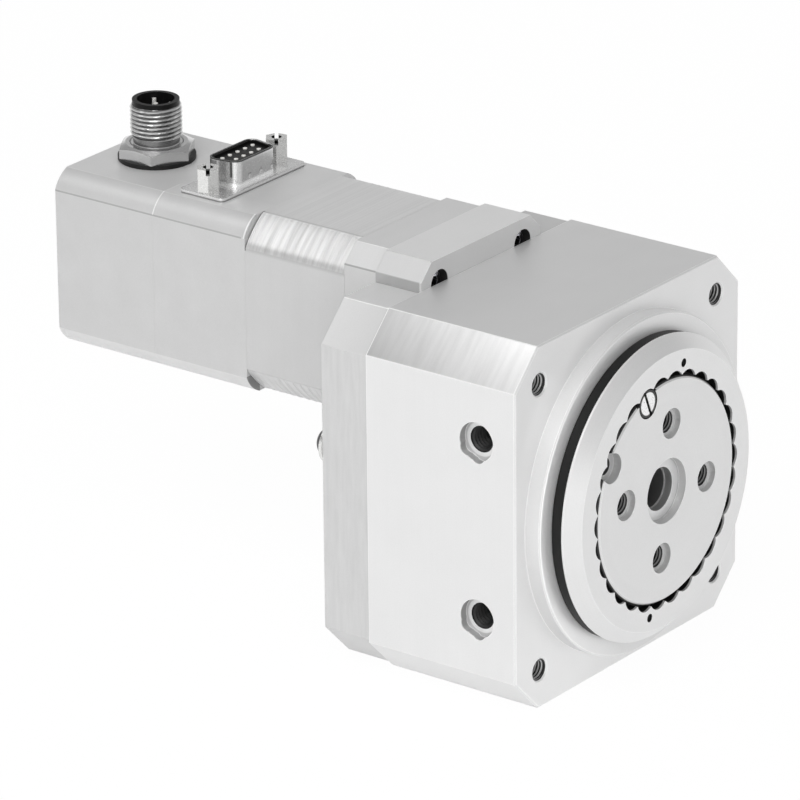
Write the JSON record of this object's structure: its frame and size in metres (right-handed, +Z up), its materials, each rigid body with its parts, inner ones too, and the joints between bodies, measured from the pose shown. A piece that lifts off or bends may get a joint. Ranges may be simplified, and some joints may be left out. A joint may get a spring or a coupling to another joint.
{
  "type": "rotary actuator",
  "caption": "Hollow rotary actuator: a stepper motor with an encoder behind a square gear housing that turns an index plate.",
  "frame": {"origin": "centre of the gear housing's front face, on the axis of the rotary plate", "axes": "+Y runs back along the output axis to the motor, +X to the right seen from the front, +Z up towards the connectors"},
  "size_m": [0.0851, 0.1554, 0.1049],
  "materials": {
    "anodised_aluminium": "clear anodised and machined aluminium, satin",
    "ground_steel": "ground bearing and gear steel, bright",
    "spring_steel": "blued spring steel",
    "lamination_steel": "stacked electrical steel with ground faces",
    "magnet": "sintered magnet",
    "copper_wire": "enamelled copper wire",
    "black_steel": "black oxide steel",
    "plated_steel": "zinc or nickel plated steel",
    "nickelled_brass": "nickel plated brass",
    "gold_contacts": "gold plated contacts",
    "black_rubber": "black rubber",
    "black_plastic": "black moulded plastic",
    "cage_plastic": "phenolic cage",
    "circuit_board": "green circuit board"
  },
  "bodies": {
    "housing_and_motor": {"gear_housing": "anodised_aluminium", "motor_plate": "anodised_aluminium", "locating_dowels": "ground_steel", "plate_screws": "black_steel", "motor_screws": "black_steel", "earth_washer": "plated_steel", "earth_screw": "plated_steel", "front_bearing_outer_ring": "ground_steel", "rear_bearing_outer_ring": "ground_steel", "outer_spacer": "ground_steel", "bearing_circlip": "spring_steel", "motor_front_bell": "anodised_aluminium", "stator_stack": "lamination_steel", "stator_windings": "copper_wire", "motor_rear_bell": "anodised_aluminium", "tie_screws": "black_steel", "motor_front_bearing_outer_ring": "ground_steel", "motor_rear_bearing_outer_ring": "ground_steel", "preload_washer": "spring_steel", "encoder_board": "circuit_board", "encoder_sensor": "black_plastic", "board_screws": "black_steel", "connector_cover": "anodised_aluminium", "cover_screws": "black_steel", "encoder_plug_shell": "plated_steel", "encoder_plug_insert": "black_plastic", "encoder_plug_pins": "gold_contacts", "jackscrews": "plated_steel", "motor_plug_seal": "black_rubber", "motor_plug_nut": "nickelled_brass", "motor_plug_sleeve": "nickelled_brass", "motor_plug_core": "black_plastic", "motor_plug_pins": "gold_contacts"},
    "rotary_plate": {"rotary_hub": "anodised_aluminium", "index_ring": "anodised_aluminium", "lock_screw": "plated_steel", "face_seal": "black_rubber", "front_bearing_inner_ring": "ground_steel", "rear_bearing_inner_ring": "ground_steel", "inner_spacer": "ground_steel", "output_gear": "ground_steel", "gear_screws": "black_steel"},
    "motor_rotor": {"motor_shaft": "ground_steel", "pinion": "ground_steel", "rotor_cores": "lamination_steel", "rotor_magnet": "magnet", "encoder_disc": "anodised_aluminium", "motor_bearing_inner_rings": "ground_steel"},
    "output_ball_sets": {"output_balls": "ground_steel", "output_ball_cages": "cage_plastic"},
    "motor_ball_sets": {"motor_balls": "ground_steel"}
  },
  "joints": [
    {"name": "plate_spin", "type": "hinge", "parent": "housing_and_motor", "child": "rotary_plate", "pos_m": [0, 0, 0], "axis": [0, 1, 0], "continuous": true},
    {"name": "rotor_spin", "type": "hinge", "parent": "housing_and_motor", "child": "motor_rotor", "pos_m": [0, 0.0525, 0.027], "axis": [0, 1, 0], "continuous": true},
    {"name": "output_balls_orbit", "type": "hinge", "parent": "housing_and_motor", "child": "output_ball_sets", "pos_m": [0, 0, 0], "axis": [0, 1, 0], "continuous": true},
    {"name": "motor_balls_orbit", "type": "hinge", "parent": "housing_and_motor", "child": "motor_ball_sets", "pos_m": [0, 0.0525, 0.027], "axis": [0, 1, 0], "continuous": true}
  ],
  "couplings": [
    {"joint": "rotor_spin", "follows": "plate_spin", "ratio": -5},
    {"joint": "output_balls_orbit", "follows": "plate_spin", "ratio": 0.46522},
    {"joint": "motor_balls_orbit", "follows": "plate_spin", "ratio": -1.8333}
  ]
}
